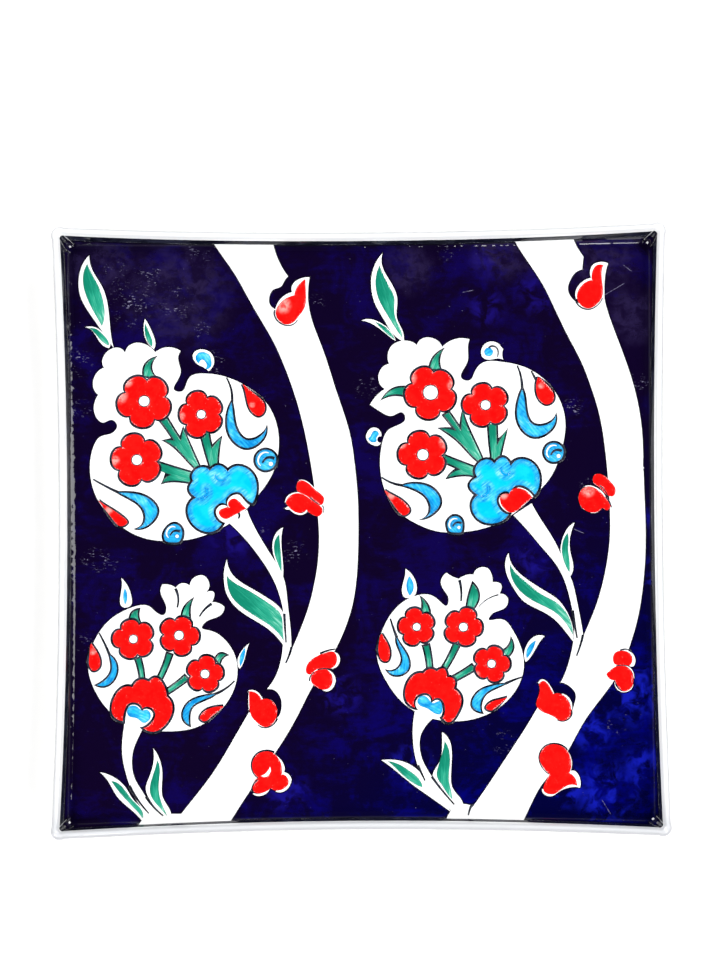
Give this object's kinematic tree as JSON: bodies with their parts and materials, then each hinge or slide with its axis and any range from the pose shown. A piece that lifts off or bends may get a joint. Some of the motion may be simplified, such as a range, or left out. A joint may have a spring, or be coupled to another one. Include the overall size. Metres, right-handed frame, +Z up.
{
  "type": "hand painted square ceramic plate",
  "caption": "Shallow square ceramic plate with a soft upturned rim, painted in glaze with pomegranates, leaves and buds on a cobalt ground.",
  "frame": {"origin": "middle of the underside of the foot ring, on the surface the plate stands on", "axes": "+Z up out of the painted face, +X along the picture's lower edge to its right, +Y up the picture"},
  "size_m": [0.2503, 0.2503, 0.021],
  "materials": {
    "white_clay": "clear glaze over white clay, glossy",
    "bare_foot": "unglazed fired clay, matt",
    "white_glaze": "white slip under clear glaze, glossy",
    "border_black": "black line under clear glaze, glossy",
    "cobalt_glaze": "cobalt blue under clear glaze, glossy",
    "turquoise_glaze": "turquoise under clear glaze, glossy",
    "blue_wash": "darker blue stroke over turquoise, under clear glaze, glossy",
    "green_glaze": "copper green under clear glaze, glossy",
    "red_slip": "raised tomato red slip under clear glaze, glossy",
    "outline_black": "brushed black outline under clear glaze, glossy"
  },
  "bodies": {
    "root": {"black_border_line": "border_black", "clay_body": "white_clay", "cobalt_left": "cobalt_glaze", "cobalt_middle": "cobalt_glaze", "cobalt_right": "cobalt_glaze", "foot_ring": "bare_foot", "left_big_pomegranate_blue_curls": "blue_wash", "left_big_pomegranate_green_stalks": "green_glaze", "left_big_pomegranate_outlines": "outline_black", "left_big_pomegranate_red_calyx": "red_slip", "left_big_pomegranate_red_drops": "red_slip", "left_big_pomegranate_red_flowers": "red_slip", "left_big_pomegranate_turquoise_blossom": "turquoise_glaze", "left_big_pomegranate_turquoise_hooks": "turquoise_glaze", "left_branch_green_leaves": "green_glaze", "left_branch_outlines": "outline_black", "left_small_pomegranate_green_stalks": "green_glaze", "left_small_pomegranate_outlines": "outline_black", "left_small_pomegranate_red_blossom": "red_slip", "left_small_pomegranate_red_drops": "red_slip", "left_small_pomegranate_red_flowers": "red_slip", "left_small_pomegranate_turquoise_calyx": "turquoise_glaze", "left_small_pomegranate_turquoise_hooks": "turquoise_glaze", "left_trunk_outlines": "outline_black", "left_trunk_red_buds": "red_slip", "right_big_pomegranate_blue_curls": "blue_wash", "right_big_pomegranate_green_stalks": "green_glaze", "right_big_pomegranate_outlines": "outline_black", "right_big_pomegranate_red_calyx": "red_slip", "right_big_pomegranate_red_drops": "red_slip", "right_big_pomegranate_red_flowers": "red_slip", "right_big_pomegranate_turquoise_blossom": "turquoise_glaze", "right_big_pomegranate_turquoise_hooks": "turquoise_glaze", "right_branch_green_leaves": "green_glaze", "right_branch_outlines": "outline_black", "right_small_pomegranate_green_stalks": "green_glaze", "right_small_pomegranate_outlines": "outline_black", "right_small_pomegranate_red_blossom": "red_slip", "right_small_pomegranate_red_drops": "red_slip", "right_small_pomegranate_red_flowers": "red_slip", "right_small_pomegranate_turquoise_calyx": "turquoise_glaze", "right_small_pomegranate_turquoise_hooks": "turquoise_glaze", "right_trunk_outlines": "outline_black", "right_trunk_red_buds": "red_slip", "white_coat": "white_glaze"}
  },
  "joints": []
}
